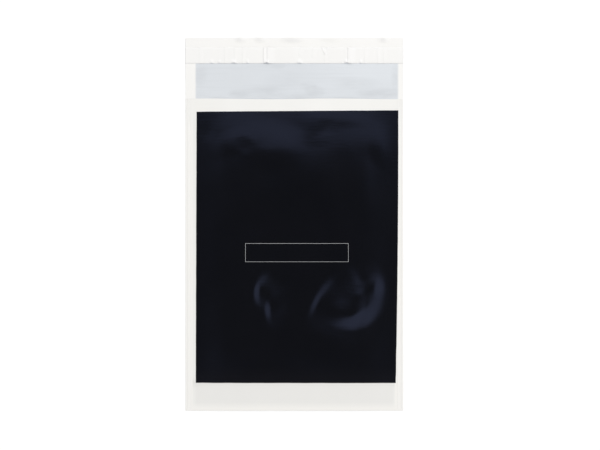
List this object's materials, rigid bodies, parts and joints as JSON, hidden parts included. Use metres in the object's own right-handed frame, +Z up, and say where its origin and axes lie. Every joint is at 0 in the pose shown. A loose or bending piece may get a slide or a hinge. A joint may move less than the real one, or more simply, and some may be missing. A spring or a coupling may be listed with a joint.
{
  "type": "poly mailer bag",
  "caption": "Flat, empty mailing bag of white film with a dark printed panel, welded sides, an open mouth and a self-seal flap under a peel-off liner.",
  "frame": {"origin": "middle of the bag's outline, on the surface that the back panel lies on", "axes": "+X to the right across the bag, +Y along the bag towards the open flap, +Z up out of the printed front panel"},
  "size_m": [0.2502, 0.428, 0.0029],
  "materials": {
    "film": "satin white polyethylene film with a dark printed field",
    "adhesive": "tacky hot-melt adhesive",
    "liner": "silicone-coated release film, creased across"
  },
  "bodies": {
    "root": {"bag_film": "film", "adhesive_strip": "adhesive", "release_liner": "liner"}
  },
  "joints": []
}
